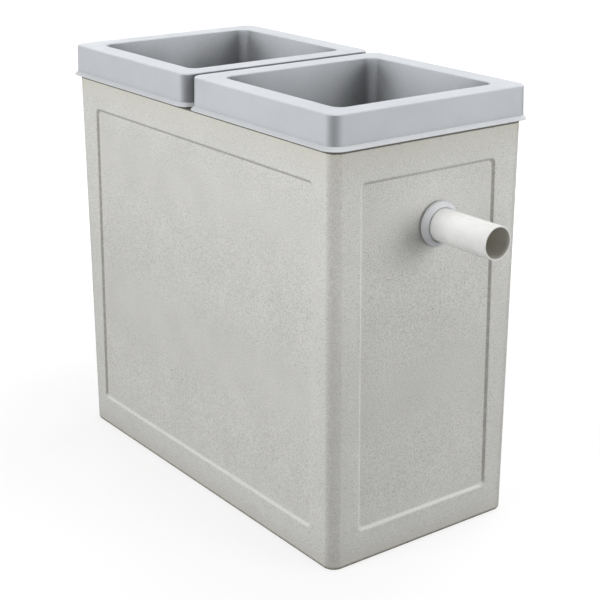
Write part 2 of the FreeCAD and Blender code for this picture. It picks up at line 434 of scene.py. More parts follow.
@dataclass(frozen=True)
class MouldedFinish(Finish):
    """Smooth moulded plastic: spark texture, faint flow marks, scuffed edges, painted shade in the
    hollows and down the riser's corners, and a painted highlight on its lip.

    Each row of the hollows has a reach, and the closed share at which shade starts and is full.
    """

    base: Colour = (0.660, 0.683, 0.717)
    grain_scales: tuple[float, float] = (1400.0, 7.0)
    specular: float = 0.12
    relief: float = 0.00012
    # Colour of edge wear, and of the painted highlight on the riser's lip
    worn_and_highlight: Colour = (0.90, 0.91, 0.92)
    edge_reach: float = 0.0025
    wear: float = 0.30
    shade: float = 0.28
    shine: float = 0.62
    gloom: float = 0.95
    dark_patch: float = 0.965
    light_patch: float = 1.035
    hollows: tuple[Triple, ...] = ((0.028, 0.30, 0.80), (0.160, 0.06, 0.31))
    flow_scale: Triple = (30.0, 30.0, 3.0)

    def surface(self, graph: Graph, place: Socket, grain: Any) -> Sequence[Socket]:
        """Colour, roughness and height of the plastic."""
        edge = self.group(graph, "edge_mask", place, self.edge_reach)["Edge"]
        stretched = graph.add("ShaderNodeMapping", {"Vector": place, "Scale": self.flow_scale})
        flow = graph.span(graph.noise(stretched.outputs[0], 1.0, 3.0, 0.55), 0.35, 0.75, 0.0, 0.10)
        tone = self.mottled(graph, grain, self.dark_patch, self.light_patch)
        tone = graph.blend(flow, tone, scaled(self.base, self.light_patch))
        tone = graph.blend(graph.times(edge, self.wear), tone, self.worn_and_highlight)
        shaded = scaled(self.base, self.shade)
        # Painted shade in the hollows, by how closed off each point is
        for reach, start, full in self.hollows:
            deep = graph.span(graph.hidden(reach), start, full, 0.0, self.gloom)
            tone = graph.blend(deep, tone, shaded)
        # The riser's layer: painted shade down its corners above 0, painted highlight on its lip
        # below 0
        painted_corner_shade, painted_lip_highlight = graph.halves(graph.mark(RISER_SHADING_MARK))
        tone = graph.blend(painted_corner_shade, tone, shaded)
        # painted highlight on the lip
        tone = graph.blend(painted_lip_highlight, tone, self.worn_and_highlight)
        uneven = graph.noise(place, 35.0, 4.0)
        rough = graph.span(uneven, 0.3, 0.7, self.shine - 0.05, self.shine + 0.07)
        return tone, graph.maths("ADD", rough, graph.times(edge, 0.15)), grain["Height"]


@dataclass(frozen=True)
class PipeFinish(Finish):
    """Extruded white drain pipe: glossy, faint lines along it, a little dust, painted shade inside.
    """

    base: Colour = (0.87, 0.87, 0.862)
    grain_scales: tuple[float, float] = (900.0, 18.0)
    relief: float = 0.00003
    # Colour of the painted shade inside the bore
    bore: Colour = (0.68, 0.665, 0.60)
    dust_and_highlight: Colour = (0.72, 0.71, 0.67)
    line_scale: Triple = (6.0, 420.0, 420.0)

    def surface(self, graph: Graph, place: Socket, grain: Any) -> Sequence[Socket]:
        """Colour, roughness and height of the pipe, duller and with painted shade where the bore's
        mark is.
        """
        drawn = graph.add("ShaderNodeMapping", {"Vector": place, "Scale": self.line_scale})
        lines = graph.noise(drawn.outputs[0], 1.0, 2.0, 0.5)
        dusty = graph.span(graph.noise(place, 26.0, 5.0), 0.45, 0.75, 0.0, 0.25)
        inside = graph.mark(BORE_MARK)
        # Patchy painted shade inside the bore
        patchy_bore_shade = graph.span(graph.noise(place, 45.0, 4.0), 0.2, 0.8, 0.8, 1.0)
        tone = graph.blend(dusty, self.mottled(graph, grain, 0.95, 1.03), self.dust_and_highlight)
        tone = graph.blend(graph.times(inside, patchy_bore_shade), tone, self.bore)
        dull = graph.maths("ADD", graph.times(dusty, 0.4), graph.times(inside, 0.3))
        rough = graph.maths("ADD", graph.span(lines, 0.3, 0.7, 0.24, 0.28), dull)
        height = graph.maths("ADD", graph.times(lines, 0.6), graph.times(grain["Fine"], 0.4))
        return tone, rough, height


@dataclass(frozen=True)
class MasticFinish(Finish):
    """Dark bedding mastic with a dull, kneaded skin."""

    base: Colour = (0.055, 0.050, 0.036)
    grain_scales: tuple[float, float] = (800.0, 60.0)
    relief: float = 0.0006
    dust_and_highlight: Colour = (0.20, 0.19, 0.16)

    def surface(self, graph: Graph, place: Socket, grain: Any) -> Sequence[Socket]:
        """Colour, roughness and height of the mastic."""
        dusty = graph.span(grain["Fine"], 0.55, 0.8, 0.0, 0.4)
        tone = graph.blend(dusty, self.mottled(graph, grain, 1.0, 1.9, 0.35), self.dust_and_highlight)
        return tone, graph.span(grain["Fine"], 0.3, 0.7, 0.55, 0.80), grain["Height"]


class Palette:
    """Every finish of the trap, made once."""

    def __init__(self) -> None:
        """Builds the shared groups and then the materials."""
        trees = (make_grain_group(), make_pit_group(), make_edge_group())
        groups = {tree.name: tree for tree in trees}
        self.concrete = CastFinish("fibre_concrete", groups).make()
        self.mortar = CastFinish("packing_mortar", groups, base=(0.62, 0.61, 0.57)).make()
        self.riser = MouldedFinish("riser_plastic_grey", groups).make()
        self.collar = MouldedFinish(
            "collar_plastic_white",
            groups,
            base=(0.85, 0.865, 0.89),
            relief=0.00005,
            shine=0.30,
            gloom=0.22,
        ).make()
        self.pipe = PipeFinish("drain_pipe_white", groups).make()
        self.upright_pipe = PipeFinish(
            "drain_pipe_white_upright", groups, line_scale=(420.0, 420.0, 6.0)
        ).make()
        self.mastic_and_shadow = MasticFinish("bedding_mastic", groups).make()


# Shapes


@dataclass(frozen=True)
class Station:
    """One rounded rectangle of a loft, and how far the corner of the section there is softened."""

    half_u: float
    half_v: float
    radius: float
    level: float
    soft: float = 0.0

    def toward(self, other: "Station", distance: float) -> "Station":
        """The station a distance away on the straight line to another, at most halfway."""
        span = math.hypot(other.half_u - self.half_u, other.level - self.level)
        share = min(0.5, distance / span)
        return self.mixed(other, share)

    def mixed(self, other: "Station", share: float) -> "Station":
        """The station that lies a share of the way to another, with no softness of its own."""
        pairs = zip(astuple(self)[:-1], astuple(other)[:-1])
        return Station(*(here + (there - here) * share for here, there in pairs))

    def points(self, steps: int) -> list[tuple[float, float]]:
        """Points of the outline, anticlockwise, with steps + 1 of them on each corner."""
        found = []
        for corner, (sign_u, sign_v) in enumerate(((1, 1), (-1, 1), (-1, -1), (1, -1))):
            centre_u = sign_u * (self.half_u - self.radius)
            centre_v = sign_v * (self.half_v - self.radius)
            for step in range(steps + 1):
                turn = math.pi / 2 * (corner + step / steps)
                u, v = self.radius * math.cos(turn), self.radius * math.sin(turn)
                found.append((centre_u + u, centre_v + v))
        return found


def softened(stations: Sequence[Station], closed: bool) -> list[Station]:
    """Rounds the corners of a section.

    Args:
        stations: The section's corners in order.
        closed: Whether the last one joins the first.

    Returns:
        The stations, with SOFT_LOOPS of them in place of each that has a softness.
    """
    found = []
    count = len(stations)
    for index, here in enumerate(stations):
        inner = closed or 0 < index < count - 1
        if not (inner and here.soft):
            found.append(here)
            continue
        start = here.toward(stations[index - 1], here.soft)
        end = here.toward(stations[(index + 1) % count], here.soft)
        for step in range(SOFT_LOOPS):
            share = step / SOFT_STEPS
            found.append(start.mixed(here, share).mixed(here.mixed(end, share), share))
    return found


def along_corner(index: int, steps: int) -> tuple[int, float]:
    """Which corner of an outline a vertex lies on, and how far round it, from 0 to 1."""
    corner, step = divmod(index, steps + 1)
    return corner, step / steps


def quad(low: Ring, high: Ring, index: int) -> Ring:
    """The four vertices of one quad between two loops of as many points."""
    after = (index + 1) % len(low)
    return low[index], low[after], high[after], high[index]


def placed(name: str, data: Any) -> bpy.types.Object:
    """Makes an object of some data and links it to the scene."""
    item = bpy.data.objects.new(name, data)
    bpy.context.scene.collection.objects.link(item)
    return item


class MeshMaker:
    """A mesh under construction, made of loops of points and the faces between them."""

    def __init__(self, mark: str = "") -> None:
        """Starts with no points.

        Args:
            mark: Name of the layer that paint fills in, which a finish reads as an attribute.
        """
        self.work = bmesh.new()
        self.marks = self.work.verts.layers.float.new(mark) if mark else None

    def loop(self, points: Sequence[Sequence[float]], place: Matrix) -> Ring:
        """Adds a ring of points.

        Args:
            points: The points, in the loop's own frame.
            place: Where that frame lies.

        Returns:
            The new vertices in order.
        """
        return [self.work.verts.new(place @ Vector(point)) for point in points]

    def band(self, low: Ring, high: Ring, skip: Sequence[int] = ()) -> None:
        """Joins two loops of as many points with quads, apart from those that skip names."""
        for index in range(len(low)):
            if index not in skip:
                self.work.faces.new(quad(low, high, index))

    def paint(self, vertices: Ring, value: float) -> None:
        """Marks vertices with a value."""
        for vertex in vertices:
            vertex[self.marks] = value

    def sheet(self, outer: Ring, inner: Ring = ()) -> None:
        """Fills the flat region between an outer loop and an inner one, or all of the outer."""
        if not inner:
            self.work.faces.new(outer)
            return
        edges = []
        for ring in (outer, inner):
            for index, vertex in enumerate(ring):
                ends = (vertex, ring[(index + 1) % len(ring)])
                edges.append(self.work.edges.get(ends) or self.work.edges.new(ends))
        bmesh.ops.triangle_fill(self.work, use_beauty=True, use_dissolve=False, edges=edges)

    def loft(
        self,
        stations: Sequence[Station],
        place: Matrix,
        steps: int,
        closed: bool,
        skips: dict[int, list[int]] | None = None,
    ) -> list[Ring]:
        """Adds a run of rounded rectangles with quads between them.

        Args:
            stations: The outlines in order.
            place: Where the loft's frame lies, its third axis along the levels.
            steps: Number of spans on each corner.
            closed: Whether the last outline joins the first.
            skips: For an outline's index, the quads left out between it and the next.

        Returns:
            The loops of vertices.
        """
        loops = [
            self.loop([(u, v, item.level) for u, v in item.points(steps)], place)
            for item in stations
        ]
        for index in range(len(loops) if closed else len(loops) - 1):
            after = loops[(index + 1) % len(loops)]
            self.band(loops[index], after, (skips or {}).get(index, ()))
        return loops

    def finish(
        self, name: str, material: bpy.types.Material, smooth_angle: float = 32.0
    ) -> bpy.types.Object:
        """Turns the work into an object at the origin.

        Args:
            name: The piece's name.
            material: Its finish.
            smooth_angle: Edges that turn by more than this many degrees stay sharp.

        Returns:
            The new object.
        """
        bmesh.ops.remove_doubles(self.work, verts=self.work.verts, dist=SAME_POINT)
        bmesh.ops.recalc_face_normals(self.work, faces=self.work.faces)
        mesh = bpy.data.meshes.new(name)
        self.work.to_mesh(mesh)
        self.work.free()
        mesh.polygons.foreach_set("use_smooth", [True] * len(mesh.polygons))
        mesh.set_sharp_from_angle(angle=math.radians(smooth_angle))
        mesh.materials.append(material)
        return placed(name, mesh)


def settle(piece: bpy.types.Object, slot: Slot, *nodes: str) -> None:
    """Lets a new piece ride on the trap in place of CAD nodes.

    Args:
        piece: The finished piece.
        slot: The record's slot of its finish; not used.
        *nodes: The nodes that it stands for.
    """
    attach(piece, BODY)
    if nodes:
        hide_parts(*nodes)
    stands_for = ", ".join(nodes) or "no node"
    log.info("%s: %d faces, for %s", piece.name, len(piece.data.polygons), stands_for)


def dress(node: str, material: bpy.types.Material) -> None:
    """Gives a CAD node that stays a better material."""
    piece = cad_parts[node]
    piece.data.materials.clear()
    piece.data.materials.append(material)
    log.info("%s: dressed with %s", node, material.name)


@dataclass
class CastTank:
    """The four cast walls with their dished panels, the floor and the cross wall."""

    palette: Palette
    draft: float = math.radians(0.4)
    cavity_draft: float = math.radians(0.3)
    corner_radius: float = 0.020
    cavity_radius: float = 0.016
    wall: float = 0.028
    foot_round: float = 0.006
    rim_round: float = 0.0015
    side_margin: float = 0.057
    top_margin: float = 0.055
    foot_margin: float = 0.060
    panel_depth: float = 0.004
    panel_bevel: float = 0.005
    panel_radius: float = 0.009
    arris_round: float = 0.0018
    # Marks painted into the walls: shade and highlight in the panels' bevels, paler frames, and
    # shade down the upright corners
    top_bevel_shade: float = 0.48
    upright_bevel_shade: float = 0.78
    upright_bevel_highlight: float = 0.35
    low_bevel_highlight: float = 0.55
    paler_frame: float = 0.12
    wall_corner_shade: float = 0.36
    blockout_sides: int = 8
    blockout_flats: float = 0.066
    corner_steps: int = 10

    def __post_init__(self) -> None:
        """Reads the casting's box from the frame."""
        low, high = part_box("tank_walls")
        self.half_x, self.half_y, self.height = high.x, high.y, high.z

    def outer(self, level: float, inset: float = 0.0, soft: float = 0.0) -> Station:
        """Outside outline of the casting at a level."""
        lean = math.tan(self.draft) * (self.height - level) + inset
        radius = self.corner_radius - inset
        return Station(self.half_x - lean, self.half_y - lean, radius, level, soft)

    def cavity(self, level: float, soft: float = 0.0) -> Station:
        """Inside outline of the walls at a level."""
        lean = self.wall + math.tan(self.cavity_draft) * (self.height - level)
        return Station(self.half_x - lean, self.half_y - lean, self.cavity_radius, level, soft)

    def face_place(self, side: int, inward: bool = False) -> Matrix:
        """Frame of one leaning face: first axis along the side, second up, third outwards.

        Args:
            side: Quarter turns from the +Y side, anticlockwise.
            inward: Whether it is the face that looks into the cavity.

        Returns:
            The frame, whose origin lies on the face at half the tank's height.
        """
        middle = self.height / 2
        station = self.cavity(middle) if inward else self.outer(middle)
        reach = station.half_u if side % 2 else station.half_v
        lean = self.cavity_draft if inward else self.draft
        turn = Matrix.Rotation(math.pi / 2 * side, 4, "Z")
        tilt = Matrix.Rotation(math.pi / 2 + lean, 4, "X")
        stand = Matrix.Translation((0.0, reach, middle)) @ tilt
        return turn @ stand @ Matrix.Rotation(math.pi, 4, "Y")

    def panel(self, maker: MeshMaker, side: int, rim: Ring) -> Ring:
        """Adds a side's dished panel and the frame of wall round it.

        Args:
            maker: The mesh under construction.
            side: Quarter turns from the +Y side.
            rim: The four corners of the flat part of that side.

        Returns:
            The loop where the pipe's hole meets the cavity, empty on a long side.
        """
        half_u = (self.half_y if side % 2 else self.half_x) - self.side_margin
        half_v = (self.height - self.top_margin - self.foot_margin) / 2
        rise = (self.foot_margin - self.top_margin) / 2
        flat_inset = self.panel_bevel + 2 * self.arris_round
        dish = [
            Station(half_u + out, half_v + out, self.panel_radius + max(out, 0.0), level, soft)
            for out, level, soft in (
                (self.arris_round, 0.0, 0.0),
                (0.0, 0.0, self.arris_round),
                (-self.panel_bevel, -self.panel_depth, self.arris_round),
                (-flat_inset, -self.panel_depth, 0.0),
            )
        ]
        place = self.face_place(side) @ Matrix.Translation((0.0, rise, 0.0))
        loops = maker.loft(softened(dish, False), place, self.corner_steps, False)
        # Painted shade at the bevel's top and one upright, painted highlight at the others
        for loop in loops[SOFT_LOOPS:2 * SOFT_LOOPS - 1]:
            self.shade_bevel(maker, side, loop)
        # The frame round the panel painted a little paler
        for loop in (rim, loops[0]):
            maker.paint(loop, -self.paler_frame)
        maker.sheet(rim, loops[0])
        outer_hole, inner_hole = self.blockout(maker, side) if side % 2 else ((), ())
        maker.sheet(loops[-1], outer_hole)
        return inner_hole

    def shade_bevel(self, maker: MeshMaker, side: int, loop: Ring) -> None:
        """Marks a loop of a bevel: painted shade above 0 at its top and one upright, painted
        highlight below 0 at its foot and the other upright.

        Args:
            maker: The mesh under construction.
            side: Quarter turns from the +Y side, whose parity says which upright gets painted
                shade.
            loop: The loop, with corner_steps + 1 vertices on each of its corners.
        """
        left, right = self.upright_bevel_shade, -self.upright_bevel_highlight
        if side % 2:
            left, right = right, left
        edges = (right, self.top_bevel_shade, left, -self.low_bevel_highlight, right)
        for index, vertex in enumerate(loop):
            corner, share = along_corner(index, self.corner_steps)
            maker.paint([vertex], edges[corner] * (1 - share) + edges[corner + 1] * share)

    def blockout(self, maker: MeshMaker, side: int) -> tuple[Ring, Ring]:
        """Adds the many-sided hole of a pipe through an end wall.

        Args:
            maker: The mesh under construction.
            side: Quarter turns from the +Y side.

        Returns:
            The hole's outer and inner loops.
        """
        end = End.INLET if side == 1 else End.OUTLET
        low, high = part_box(f"{end.label}_mortar_ring")
        across, height = (low.y + high.y) / 2, (low.z + high.z) / 2
        half_turn = math.pi / self.blockout_sides
        reach = self.blockout_flats / 2 / math.cos(half_turn)
        rings = []
        for inward, depth in ((False, self.panel_depth), (True, 0.0)):
            face = self.face_place(side, inward)
            normal = face.col[2].xyz
            offset = normal.dot(face @ Vector((0.0, 0.0, -depth)))
            ring = []
            for index in range(self.blockout_sides):
                angle = half_turn * (2 * index + 1)
                y, z = across + reach * math.cos(angle), height + reach * math.sin(angle)
                ring.append(((offset - normal.y * y - normal.z * z) / normal.x, y, z))
            rings.append(maker.loop(ring, Matrix.Identity(4)))
        maker.band(rings[0], rings[1])
        return rings[0], rings[1]

    def build_walls(self) -> bpy.types.Object:
        """Builds the walls as one closed mesh, whose tallest band takes the panels."""
        maker = MeshMaker(WALL_SHADING_MARK)
        corners = [
            self.cavity(0.0),
            self.outer(0.0, 0.0, self.foot_round),
            self.outer(self.height, 0.0, self.rim_round),
            self.cavity(self.height, self.rim_round),
        ]
        section = softened(corners, True)
        levels = [item.level for item in section]
        tallest = max(range(1, len(section)), key=lambda i: levels[i] - levels[i - 1]) - 1
        flats = [(self.corner_steps + 1) * (corner + 1) - 1 for corner in range(4)]
        skips = {tallest: flats, len(section) - 1: flats[1::2]}
        loops = maker.loft(section, Matrix.Identity(4), self.corner_steps, True, skips)
        low, high = loops[tallest:tallest + 2]
        # Painted shade down the rounded upright corners
        for index, pair in enumerate(zip(low, high)):
            _, share = along_corner(index, self.corner_steps)
            maker.paint(pair, self.wall_corner_shade * math.sin(math.pi * share))
        for side, flat in enumerate(flats):
            hole = self.panel(maker, side, quad(low, high, flat))
            if hole:
                maker.sheet(quad(loops[0], loops[-1], flat), hole)
        return maker.finish("cast_walls", self.palette.concrete)

    def build(self) -> None:
        """Builds and dresses the casting and what is cast or placed inside it."""
        settle(self.build_walls(), Slot.CAST, "tank_walls")
        dress("tank_floor", self.palette.concrete)
        dress("cross_wall", self.palette.concrete)
        for end in End:
            dress(f"{end.label}_mortar_ring", self.palette.mortar)


@dataclass
class Riser:
    """One moulded riser: rim, leaning skirt, flared lip and a tongue that reaches into the tank."""

    palette: Palette
    end: End
    draft: float = math.radians(1.2)
    skirt_radius: float = 0.022
    mouth_radius: float = 0.018
    rim_width: float = 0.040
    skin: float = 0.004
    lip_reach: float = 0.0056
    lip_edge: float = 0.0014
    rim_round: float = 0.0030
    mouth_round: float = 0.0026
    lip_round: float = 0.0006
    # Painted shade down the skirt's corners, and a painted highlight on the lip
    corner_shade: float = 0.72
    lip_highlight: float = 0.32
    corner_steps: int = 12
    smooth_angle: float = 60.0
    web_thickness: float = 0.004
    web_pitch: float = 0.095

    def __post_init__(self) -> None:
        """Reads the riser's box, and the level that it stands on, from the frame."""
        low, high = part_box(f"{self.end.label}_riser")
        self.middle = (low.x + high.x) / 2
        self.lip_u, self.lip_v = (high.x - low.x) / 2, high.y
        self.tongue_foot, self.top = low.z, high.z
        self.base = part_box(f"{self.end.label}_riser_seal")[1].z

    def skirt(self, level: float, inset: float = 0.0, soft: float = 0.0) -> Station:
        """Outline of the leaning skirt at a level."""
        lean = math.tan(self.draft) * (level - self.base) + self.lip_reach + inset
        return Station(self.lip_u - lean, self.lip_v - lean, self.skirt_radius - inset, level, soft)

    def mouth(self, level: float, outset: float = 0.0, soft: float = 0.0) -> Station:
        """Outline of the mouth, or of the tongue's outside, at a level."""
        rim = self.skirt(self.top)
        inset = self.rim_width - outset
        radius = self.mouth_radius + outset
        return Station(rim.half_u - inset, rim.half_v - inset, radius, level, soft)

    def build_shell(self) -> bpy.types.Object:
        """Lofts the riser's whole section round its mouth as one closed mesh.

        The lip's two corners and the crease above it each become SOFT_LOOPS loops: the skirt
        runs from the last of these to the next, and the lip's edge lies between its corners.
        """
        lip_radius = self.skirt_radius + self.lip_reach
        channel_top = self.top - self.skin
        crease = self.base + self.lip_edge + self.lip_reach
        lip_levels = (self.base, self.base + self.lip_edge)
        section = [
            *(Station(self.lip_u, self.lip_v, lip_radius, z, self.lip_round) for z in lip_levels),
            self.skirt(crease, 0.0, self.lip_round),
            self.skirt(self.top, 0.0, self.rim_round),
            self.mouth(self.top, 0.0, self.mouth_round),
            self.mouth(self.tongue_foot, 0.0, self.lip_round),
            self.mouth(self.tongue_foot, self.skin, self.lip_round),
            self.mouth(channel_top, self.skin),
            self.skirt(channel_top, self.skin),
            self.skirt(self.base, self.skin),
        ]
        maker = MeshMaker(RISER_SHADING_MARK)
        place = Matrix.Translation((self.middle, 0.0, 0.0))
        loops = maker.loft(softened(section, True), place, self.corner_steps, True)
        # Painted shade down the skirt's corners
        for loop in loops[3 * SOFT_LOOPS - 1:3 * SOFT_LOOPS + 1]:
            for index, vertex in enumerate(loop):
                _, share = along_corner(index, self.corner_steps)
                maker.paint([vertex], self.corner_shade * math.sin(math.pi * share) ** 2)
        # Painted highlight on the lip
        for loop in loops[SOFT_LOOPS - 1:2 * SOFT_LOOPS + 1]:
            maker.paint(loop, -self.lip_highlight)
        name = f"{self.end.label}_riser_shell"
        return maker.finish(name, self.palette.riser, self.smooth_angle)

    def build(self, ribs: "RibTree", bead: "BeadTree") -> None:
        """Builds the shell, the ribs in its channel and the mastic bead under it."""
        settle(self.build_shell(), Slot.RISER, f"{self.end.label}_riser")
        settle(self.build_ribs(ribs), Slot.RISER)
        settle(bead.build(self), Slot.SEAL, f"{self.end.label}_riser_seal")

    def build_ribs(self, tree: "RibTree") -> bpy.types.Object:
        """Places the thin ribs that stiffen the channel, at an even pitch along each side."""
        channel_top = self.top - self.skin
        mouth, skirt = self.mouth(self.top, self.skin), self.skirt(channel_top, self.skin)
        middle_u = (mouth.half_u + skirt.half_u) / 2
        middle_v = (mouth.half_v + skirt.half_v) / 2
        run_u, run_v = mouth.half_u - self.skin, mouth.half_v - self.skin
        lines = []
        for sign in (1, -1):
            x, y = self.middle + sign * middle_u, sign * middle_v
            lines.append(((self.middle - run_u, y), (self.middle + run_u, y)))
            lines.append(((x, -run_v), (x, run_v)))
        size = Vector((self.web_thickness, skirt.half_v - mouth.half_v, channel_top - self.base))
        level = (channel_top + self.base) / 2
        runs = [[(x, y, level) for x, y in line] for line in lines]
        values = {"Pitch": self.web_pitch, "Plate": size, "Material": self.palette.riser}
        return tree.run(f"{self.end.label}_riser_ribs", runs, False, values)


# Geometry Nodes


class ShapeTree:
    """A Geometry Nodes tree with named inputs, which makes a plain mesh from a path."""

    def __init__(self, name: str, inputs: dict[str, str]) -> None:
        """Starts the tree.

        Args:
            name: The tree's name.
            inputs: Each input's socket type.
        """
        self.tree = bpy.data.node_groups.new(name, "GeometryNodeTree")
        new_socket = self.tree.interface.new_socket
        new_socket("Geometry", in_out="INPUT", socket_type=GEOMETRY)
        self.sockets = {
            label: new_socket(label, in_out="INPUT", socket_type=kind).identifier
            for label, kind in inputs.items()
        }
        new_socket("Geometry", in_out="OUTPUT", socket_type=GEOMETRY)
        self.graph = Graph(self.tree)
        self.given = self.graph.add("NodeGroupInput").outputs

    def close(self, geometry: Socket) -> None:
        """Ends the tree in real geometry with the piece's material."""
        real = self.graph.add("GeometryNodeRealizeInstances", {"Geometry": geometry})
        wired = {"Geometry": real.outputs[0], "Material": self.given["Material"]}
        painted = self.graph.add("GeometryNodeSetMaterial", wired)
        self.graph.add("NodeGroupOutput", {"Geometry": painted.outputs[0]})

    def spread(self, step: Any) -> Socket:
        """The given path with points at an even step."""
        wired = {"Curve": self.given["Geometry"], "Length": step}
        return self.graph.add("GeometryNodeResampleCurve", wired, mode="LENGTH").outputs[0]

    def run(
        self, name: str, runs: Sequence, closed: bool, values: dict[str, Any]
    ) -> bpy.types.Object:
        """Runs the tree on a path and keeps the result as a plain mesh.

        Args:
            name: The piece's name.
            runs: The points of each straight-sided run of the path.
            closed: Whether each run ends where it starts.
            values: The tree's inputs by name.

        Returns:
            The piece, at the origin.
        """
        carrier = placed(name + "_path", poly_path(name, runs, closed))
        modifier = carrier.modifiers.new("shape", "NODES")
        modifier.node_group = self.tree
        for label, identifier in self.sockets.items():
            modifier[identifier] = values[label]
        depsgraph = bpy.context.evaluated_depsgraph_get()
        mesh = bpy.data.meshes.new_from_object(carrier.evaluated_get(depsgraph))
        carrier.modifiers.remove(modifier)
        bpy.data.objects.remove(carrier)
        mesh.name = name
        return placed(name, mesh)


def poly_path(name: str, runs: Sequence, closed: bool) -> bpy.types.Curve:
    """Makes a curve of straight runs through the given points."""
    curve = bpy.data.curves.new(name, "CURVE")
    curve.dimensions = "3D"
    for run in runs:
        spline = curve.splines.new("POLY")
        spline.points.add(len(run) - 1)
        for point, place in zip(spline.points, run):
            point.co = (*place, 1.0)
        spline.use_cyclic_u = closed
    return curve


class RibTree(ShapeTree):
    """Thin plates at an even pitch along straight runs."""

    def __init__(self) -> None:
        """Builds the tree."""
        super().__init__("even_ribs", {"Pitch": FLOAT, "Plate": VECTOR, "Material": MATERIAL})
        graph, given = self.graph, self.given
        ends = graph.add("GeometryNodeCurveEndpointSelection", {"Start Size": 1, "End Size": 1})
        wired = {"Geometry": self.spread(given["Pitch"]), "Selection": ends.outputs[0]}
        middle = graph.add("GeometryNodeDeleteGeometry", wired, domain="POINT")
        plate = graph.add("GeometryNodeMeshCube", {"Size": given["Plate"]})
        along = graph.add("GeometryNodeInputTangent")
        turn = graph.add("FunctionNodeAlignEulerToVector", {"Vector": along.outputs[0]}, axis="X")
        wired = {
            "Points": middle.outputs[0],
            "Instance": plate.outputs["Mesh"],
            "Rotation": turn.outputs[0],
        }
        self.close(graph.add("GeometryNodeInstanceOnPoints", wired).outputs[0])


class BeadTree(ShapeTree):
    """A flattened bead of mastic, uneven at its edges, along a closed path.

    Tighter is how much smaller its corner radius is than the skirt's.
    """

    width: float = 0.018
    tighter: float = 0.0125
    unevenness: float = 0.0016
    step: float = 0.004
    corner_steps: int = 6

    def __init__(self, palette: Palette) -> None:
        """Builds the tree.

        Args:
            palette: Holds the mastic's finish.
        """
        self.palette = palette
        values = dict.fromkeys(("Width", "Height", "Unevenness", "Step", "Seed"), FLOAT)
        super().__init__("mastic_bead", {**values, "Material": MATERIAL})
        graph, given = self.graph, self.given
        place = graph.add("GeometryNodeInputPosition").outputs[0]
        wired = {"Vector": place, "W": given["Seed"], "Scale": 55.0, "Detail": 2.0}
        wander = graph.add("ShaderNodeTexNoise", wired, noise_dimensions="4D").outputs["Color"]
        drift = self.vector("SUBTRACT", {0: wander, 1: (0.5, 0.5, 0.5)})
        level = self.vector("MULTIPLY", {0: drift, 1: (1.0, 1.0, 0.0)})
        push = self.vector("SCALE", {0: level, "Scale": given["Unevenness"]})
        wired = {"Geometry": self.spread(given["Step"]), "Offset": push}
        moved = graph.add("GeometryNodeSetPosition", wired).outputs[0]
        wired = {"Width": given["Width"], "Height": given["Height"]}
        section = graph.add("GeometryNodeCurvePrimitiveQuadrilateral", wired).outputs[0]
        radius = graph.times(given["Height"], 0.49)
        wired = {"Curve": section, "Count": 5, "Radius": radius, "Limit Radius": True}
        rounded = graph.add("GeometryNodeFilletCurve", wired, mode="POLY").outputs[0]
        wired = {"Curve": moved, "Profile Curve": rounded}
        self.close(graph.add("GeometryNodeCurveToMesh", wired).outputs[0])

    def vector(self, operation: str, wired: dict[Any, Any]) -> Socket:
        """Adds a Vector Math node and returns its result."""
        return self.graph.add("ShaderNodeVectorMath", wired, operation=operation).outputs[0]

    def build(self, riser: Riser) -> bpy.types.Object:
        """Makes the bead under one riser, laid inside the seal's box."""
        low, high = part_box(f"{riser.end.label}_riser_seal")
        half_u, half_v = (high.x - low.x - self.width) / 2, high.y - self.width / 2
        radius, level = riser.skirt_radius - self.tighter, (low.z + high.z) / 2
        middle = Station(half_u, half_v, radius, level)
        centre = (low.x + high.x) / 2
        run = [(centre + u, v, level) for u, v in middle.points(self.corner_steps)]
        name = f"{riser.end.label}_mastic_bead"
        values = {
            "Width": self.width,
            "Height": high.z - low.z,
            "Unevenness": self.unevenness,
            "Step": self.step,
            "Seed": riser.end.value + SEED_BASE,
            "Material": self.palette.mastic_and_shadow,
        }
        return self.run(name, [run], True, values)


# Pipes


